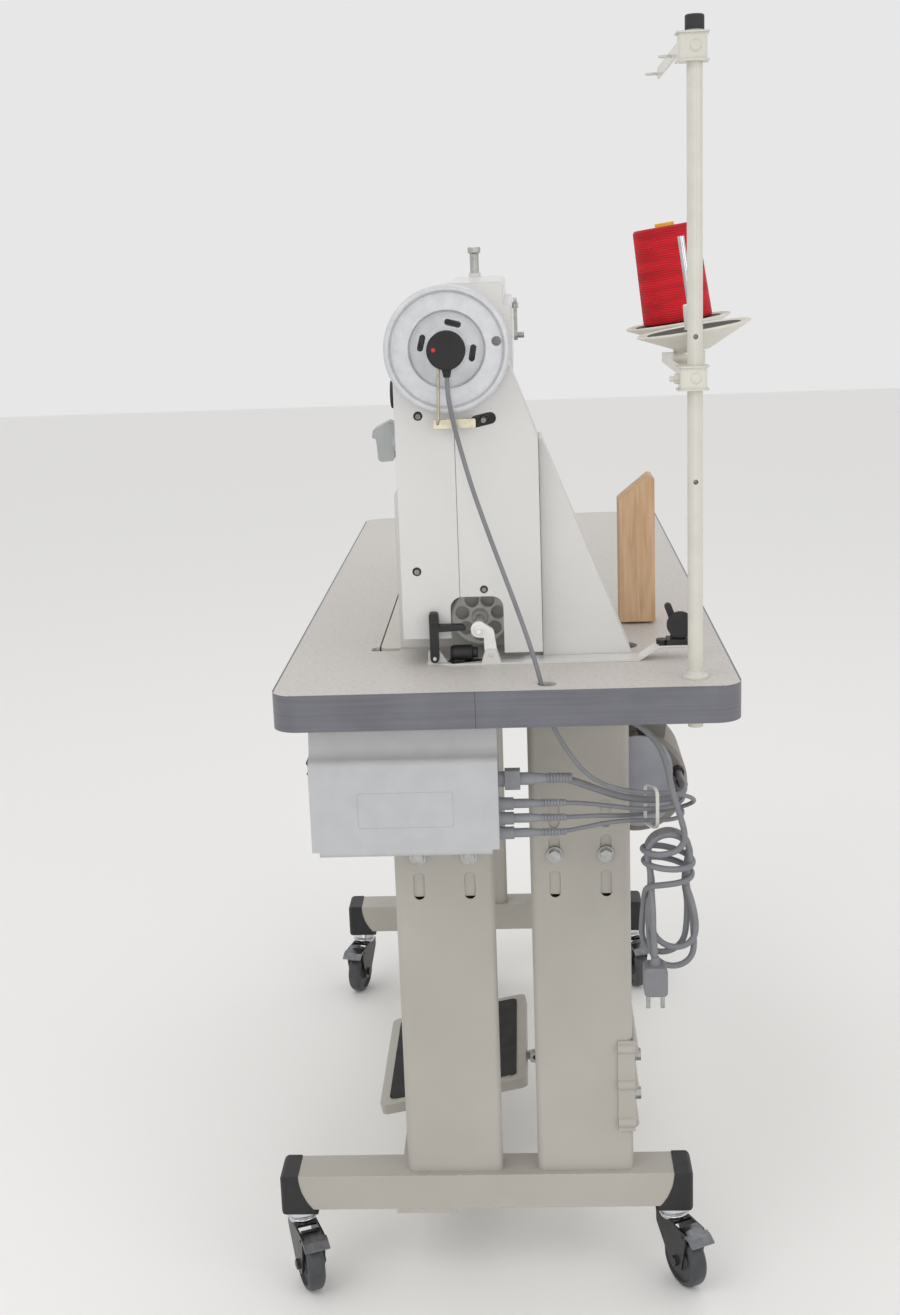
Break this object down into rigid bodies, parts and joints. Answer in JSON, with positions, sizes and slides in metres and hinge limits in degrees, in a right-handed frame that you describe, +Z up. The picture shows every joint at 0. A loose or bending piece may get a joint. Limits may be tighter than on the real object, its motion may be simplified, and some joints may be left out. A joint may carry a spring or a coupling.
{
  "type": "industrial sewing machine",
  "caption": "Industrial post-bed sewing machine on a table with a wheeled stand, treadle, under-table motor, control box, bobbin winder and thread stand.",
  "frame": {"origin": "on the floor, under the middle of the table top", "axes": "+X to the operator's right along the table, +Y away from the operator, +Z up"},
  "size_m": [1.2, 0.5762, 1.467],
  "materials": {
    "stand_paint": "powder coat",
    "black_plastic": "satin",
    "bright_steel": "zinc plated",
    "caster_black": "gloss",
    "caster_tread": "matt",
    "chrome": "polished",
    "laminate": "matt laminate",
    "beech": "raw",
    "head_paint": "enamel",
    "cover_paint": "enamel",
    "guard_plastic": "satin",
    "handwheel_paint": "hammered enamel",
    "sensor_black": "matt",
    "belt_rubber": "matt",
    "motor_paint": "painted",
    "box_plastic": "textured",
    "pole_paint": "enamel",
    "seat_plastic": "satin",
    "thread": "wound thread",
    "tread_iron": "powder coat",
    "cable_grey": "satin",
    "cable_black": "satin",
    "grey_plastic": "satin"
  },
  "bodies": {
    "stand": {"beam_end_caps": "black_plastic", "belt_guard_front": "guard_plastic", "belt_guard_rear": "guard_plastic", "belt_guard_skirt": "guard_plastic", "control_box": "box_plastic", "cross_members": "stand_paint", "drive_belt": "belt_rubber", "encoder_cable": "cable_grey", "face_plate": "cover_paint", "foot_beams": "stand_paint", "head_arm": "head_paint", "head_bed": "head_paint", "head_rest_post": "beech", "leg_bolts": "bright_steel", "leg_columns": "stand_paint", "leg_sliders": "bright_steel", "mains_hank": "cable_black", "mains_lead": "cable_black", "mains_plug": "cable_black", "motor_body": "motor_paint", "motor_cable": "cable_grey", "pedal_cable": "cable_grey", "position_sensor": "sensor_black", "sensor_cable": "cable_black", "spool_bracket": "pole_paint", "spool_seats": "seat_plastic", "table_top": "laminate", "thread_stand": "pole_paint", "winder_base": "cover_paint"},
    "pedal": {"pedal": "tread_iron"},
    "treadle_rod": {"treadle_rod": "bright_steel"},
    "speed_lever": {"speed_lever": "bright_steel"},
    "hook": {"hook": "bright_steel"},
    "needle_bar": {"needle_bar": "bright_steel"},
    "presser_bar": {"presser_bar": "bright_steel"},
    "presser_screw": {"presser_screw": "bright_steel"},
    "takeup_lever": {"takeup_lever": "bright_steel"},
    "tension_knob": {"tension_knob": "chrome"},
    "stitch_dial": {"stitch_dial": "black_plastic"},
    "reverse_lever": {"reverse_lever": "grey_plastic"},
    "lifter_lever": {"lifter_lever": "chrome"},
    "handwheel": {"handwheel": "handwheel_paint"},
    "winder_arm": {"winder_arm": "bright_steel"},
    "winder_wheel": {"winder_wheel": "bright_steel"},
    "winder_latch": {"winder_latch": "black_plastic"},
    "motor_pulley": {"motor_pulley": "motor_paint"},
    "thread_cone": {"thread_cone": "thread"},
    "power_switch": {"power_switch": "black_plastic"},
    "caster_fork_front_right": {"caster_fork_front_right": "caster_black"},
    "caster_wheel_front_right": {"caster_wheel_front_right": "caster_tread"},
    "caster_brake_front_right": {"caster_brake_front_right": "chrome"},
    "caster_fork_rear_right": {"caster_fork_rear_right": "caster_black"},
    "caster_wheel_rear_right": {"caster_wheel_rear_right": "caster_tread"},
    "caster_brake_rear_right": {"caster_brake_rear_right": "chrome"},
    "caster_fork_front_left": {"caster_fork_front_left": "caster_black"},
    "caster_wheel_front_left": {"caster_wheel_front_left": "caster_tread"},
    "caster_brake_front_left": {"caster_brake_front_left": "chrome"},
    "caster_fork_rear_left": {"caster_fork_rear_left": "caster_black"},
    "caster_wheel_rear_left": {"caster_wheel_rear_left": "caster_tread"},
    "caster_brake_rear_left": {"caster_brake_rear_left": "chrome"}
  },
  "joints": [
    {"name": "handwheel_turn", "type": "hinge", "parent": "stand", "child": "handwheel", "pos_m": [0.49, -0.053, 1.15], "axis": [1, 0, 0], "continuous": true},
    {"name": "motor_turn", "type": "hinge", "parent": "stand", "child": "motor_pulley", "pos_m": [0.404, 0.15, 0.624], "axis": [1, 0, 0], "continuous": true},
    {"name": "hook_turn", "type": "hinge", "parent": "stand", "child": "hook", "pos_m": [-0.007, -0.056, 0.96], "axis": [0, 0, 1], "continuous": true},
    {"name": "needle_stroke", "type": "slide", "parent": "stand", "child": "needle_bar", "axis": [0, 0, 1], "range_m": [-0.032, 0]},
    {"name": "lifter_turn", "type": "hinge", "parent": "stand", "child": "lifter_lever", "pos_m": [-0.04, 0.02, 1.176], "axis": [0, 1, 0], "range_deg": [0, 56]},
    {"name": "presser_lift", "type": "slide", "parent": "stand", "child": "presser_bar", "axis": [0, 0, 1], "range_m": [0, 0.0069]},
    {"name": "presser_screw_turn", "type": "hinge", "parent": "stand", "child": "presser_screw", "pos_m": [-0.03, -0.034, 1.22], "axis": [0, 0, 1], "range_deg": [-180, 180]},
    {"name": "takeup_swing", "type": "hinge", "parent": "stand", "child": "takeup_lever", "pos_m": [0.011, -0.085, 1.14], "axis": [1, 0, 0], "range_deg": [-30, 30]},
    {"name": "tension_turn", "type": "hinge", "parent": "stand", "child": "tension_knob", "pos_m": [0.062, -0.12, 1.135], "axis": [0, 1, 0], "range_deg": [-180, 180]},
    {"name": "dial_turn", "type": "hinge", "parent": "stand", "child": "stitch_dial", "pos_m": [0.34, -0.118, 1.092], "axis": [0, 1, 0], "range_deg": [-150, 150]},
    {"name": "reverse_press", "type": "hinge", "parent": "stand", "child": "reverse_lever", "pos_m": [0.345, -0.118, 1.036], "axis": [0, -1, 0], "range_deg": [0, 18], "stiffness_Nm_per_rad": 1, "springref_deg": -17.19},
    {"name": "winder_swing", "type": "hinge", "parent": "stand", "child": "winder_arm", "pos_m": [0.477, -0.016, 0.812], "axis": [-1, 0, 0], "range_deg": [0, 30]},
    {"name": "winder_wheel_turn", "type": "hinge", "parent": "winder_arm", "child": "winder_wheel", "pos_m": [0.404, -0.029, 0.84], "axis": [1, 0, 0], "continuous": true},
    {"name": "winder_latch_turn", "type": "hinge", "parent": "stand", "child": "winder_latch", "pos_m": [0.479, -0.079, 0.809], "axis": [1, 0, 0], "range_deg": [0, 20]},
    {"name": "pedal_tilt", "type": "hinge", "parent": "stand", "child": "pedal", "pos_m": [0.102, -0.117, 0.124], "axis": [1, 0, 0], "range_deg": [-4, 8], "stiffness_Nm_per_rad": 8, "springref_deg": 4.01},
    {"name": "treadle_rod_lift", "type": "slide", "parent": "stand", "child": "treadle_rod", "axis": [0, 0, 1], "range_m": [-0.01045, 0.02059]},
    {"name": "speed_lever_turn", "type": "hinge", "parent": "stand", "child": "speed_lever", "pos_m": [0.248, 0.14, 0.6], "axis": [1, 0, 0], "range_deg": [-11.48, 5.89]},
    {"name": "power_rocker", "type": "hinge", "parent": "stand", "child": "power_switch", "pos_m": [0.558, -0.213, 0.71], "axis": [1, 0, 0], "range_deg": [-8, 8]},
    {"name": "cone_lift", "type": "slide", "parent": "stand", "child": "thread_cone", "axis": [0, -0.1392, 0.9903], "range_m": [0, 0.12]},
    {"name": "caster_swivel_front_right", "type": "hinge", "parent": "stand", "child": "caster_fork_front_right", "pos_m": [0.435, -0.275, 0.09], "axis": [0, 0, 1], "continuous": true},
    {"name": "caster_roll_front_right", "type": "hinge", "parent": "caster_fork_front_right", "child": "caster_wheel_front_right", "pos_m": [0.45893, -0.26484, 0.035], "axis": [-0.3907, 0.9205, 0], "continuous": true},
    {"name": "caster_brake_press_front_right", "type": "hinge", "parent": "caster_fork_front_right", "child": "caster_brake_front_right", "pos_m": [0.47182, -0.25937, 0.074], "axis": [-0.3907, 0.9205, 0], "range_deg": [0, 12]},
    {"name": "caster_swivel_rear_right", "type": "hinge", "parent": "stand", "child": "caster_fork_rear_right", "pos_m": [0.435, 0.188, 0.09], "axis": [0, 0, 1], "continuous": true},
    {"name": "caster_roll_rear_right", "type": "hinge", "parent": "caster_fork_rear_right", "child": "caster_wheel_rear_right", "pos_m": [0.45796, 0.20021, 0.035], "axis": [-0.4695, 0.8829, 0], "continuous": true},
    {"name": "caster_brake_press_rear_right", "type": "hinge", "parent": "caster_fork_rear_right", "child": "caster_brake_rear_right", "pos_m": [0.47032, 0.20678, 0.074], "axis": [-0.4695, 0.8829, 0], "range_deg": [0, 12]},
    {"name": "caster_swivel_front_left", "type": "hinge", "parent": "stand", "child": "caster_fork_front_left", "pos_m": [-0.435, -0.275, 0.09], "axis": [0, 0, 1], "continuous": true},
    {"name": "caster_roll_front_left", "type": "hinge", "parent": "caster_fork_front_left", "child": "caster_wheel_front_left", "pos_m": [-0.40989, -0.28173, 0.035], "axis": [0.2588, 0.9659, 0], "continuous": true},
    {"name": "caster_brake_press_front_left", "type": "hinge", "parent": "caster_fork_front_left", "child": "caster_brake_front_left", "pos_m": [-0.39636, -0.28535, 0.074], "axis": [0.2588, 0.9659, 0], "range_deg": [0, 12]},
    {"name": "caster_swivel_rear_left", "type": "hinge", "parent": "stand", "child": "caster_fork_rear_left", "pos_m": [-0.435, 0.188, 0.09], "axis": [0, 0, 1], "continuous": true},
    {"name": "caster_roll_rear_left", "type": "hinge", "parent": "caster_fork_rear_left", "child": "caster_wheel_rear_left", "pos_m": [-0.41057, 0.19689, 0.035], "axis": [-0.342, 0.9397, 0], "continuous": true},
    {"name": "caster_brake_press_rear_left", "type": "hinge", "parent": "caster_fork_rear_left", "child": "caster_brake_rear_left", "pos_m": [-0.39741, 0.20168, 0.074], "axis": [-0.342, 0.9397, 0], "range_deg": [0, 12]}
  ],
  "couplings": [
    {"joint": "motor_turn", "follows": "handwheel_turn", "ratio": 1.1349},
    {"joint": "hook_turn", "follows": "handwheel_turn", "ratio": 2},
    {"joint": "lifter_turn", "follows": "presser_lift", "rad_per_m": 139.12},
    {"joint": "treadle_rod_lift", "follows": "pedal_tilt", "m_per_rad": 0.14533},
    {"joint": "speed_lever_turn", "follows": "pedal_tilt", "ratio": -1.3974}
  ]
}
